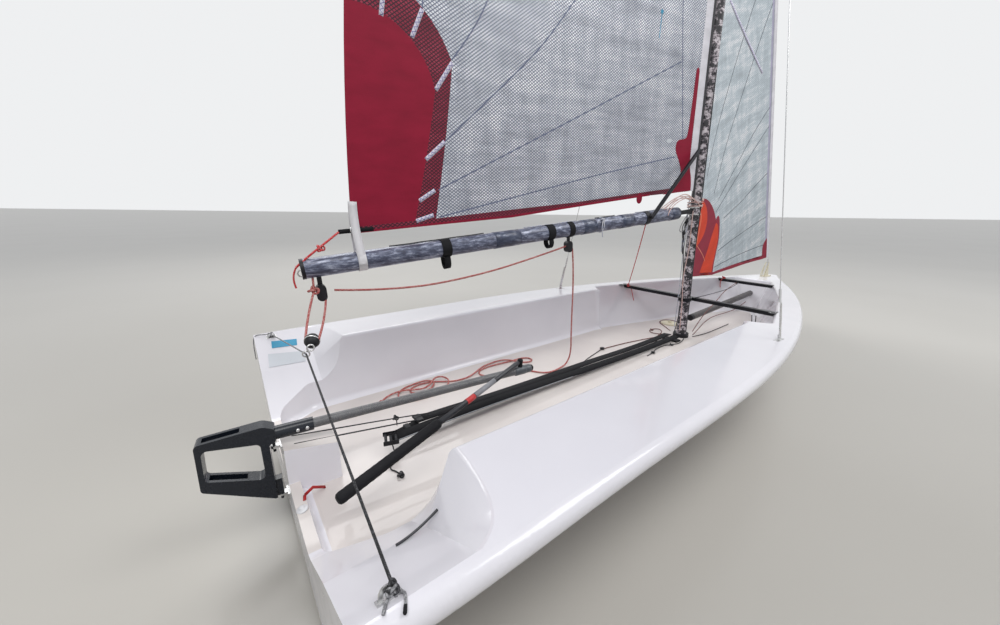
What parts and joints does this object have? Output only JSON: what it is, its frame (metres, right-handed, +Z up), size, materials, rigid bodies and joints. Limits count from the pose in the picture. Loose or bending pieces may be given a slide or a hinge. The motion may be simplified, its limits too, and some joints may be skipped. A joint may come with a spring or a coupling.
{
  "type": "sailing dinghy",
  "caption": "Open two-person sailing dinghy with a raked mast, boom, jib and mainsail, side tanks, a low transom, a sliding bowsprit and a rudder head with a tiller.",
  "frame": {"origin": "centre of the box's base, at floor level", "axes": "+X towards the bow, +Y to port, +Z up"},
  "size_m": [4.1972, 1.5498, 5.7379],
  "materials": {
    "hull_gloss": "glossy moulded skin, off-white",
    "spar_wrap": "satin, grey camouflage pattern",
    "dark_fitting": "matt black",
    "anodised_bar": "satin",
    "steel": "brushed",
    "cream_fitting": "semi-gloss cream",
    "sail_film": "silver film with a dark scrim and maroon panels",
    "white_webbing": "woven, off-white",
    "black_webbing": "woven, black",
    "red_rope": "braided, dull red",
    "dark_spar": "satin black",
    "carbon_tube": "satin dark grey weave",
    "black_rubber": "matt black"
  },
  "bodies": {
    "hull_body": {"hull": "hull_gloss", "mast": "spar_wrap", "mast_step": "dark_fitting", "mast_bar": "anodised_bar", "bow_bar": "anodised_bar", "hounds_band": "steel", "forestay": "steel", "shrouds": "steel", "shroud_adjusters": "steel", "chainplates": "steel", "bow_fitting": "cream_fitting", "gooseneck_bracket": "steel", "jib": "sail_film", "gudgeons": "steel", "toe_straps": "black_webbing", "strap_bracket": "dark_fitting", "hatch_ring": "cream_fitting", "hatch_lid": "cream_fitting", "bridle_eyes": "steel", "mainsheet_tail": "red_rope"},
    "boom_body": {"boom": "spar_wrap", "boom_caps": "dark_fitting", "boom_bands": "black_webbing", "gooseneck_eye": "dark_fitting", "boom_strut": "dark_spar", "strut_band": "dark_fitting", "mainsheet_blocks": "dark_fitting", "mainsail": "sail_film", "clew_strap": "white_webbing"},
    "rudder_body": {"rudder_head": "dark_spar", "tiller_socket": "dark_spar", "tiller": "carbon_tube", "extension_joint": "black_rubber", "tiller_extension": "carbon_tube", "extension_grip": "black_rubber"},
    "bowsprit_body": {"bowsprit": "carbon_tube", "bowsprit_heel": "dark_fitting"}
  },
  "joints": [
    {"name": "boom_swing", "type": "hinge", "parent": "hull_body", "child": "boom_body", "pos_m": [0.39293, 0, 0.97954], "axis": [-0.0558, 0, 0.9984], "range_deg": [-42, 56]},
    {"name": "rudder_swing", "type": "hinge", "parent": "hull_body", "child": "rudder_body", "pos_m": [-1.91934, 0, 0.42], "axis": [0, 0, 1], "range_deg": [-21, 33]},
    {"name": "bowsprit_slide", "type": "slide", "parent": "hull_body", "child": "bowsprit_body", "axis": [0.9991, 0, 0.0419], "range_m": [0, 0.9]}
  ]
}
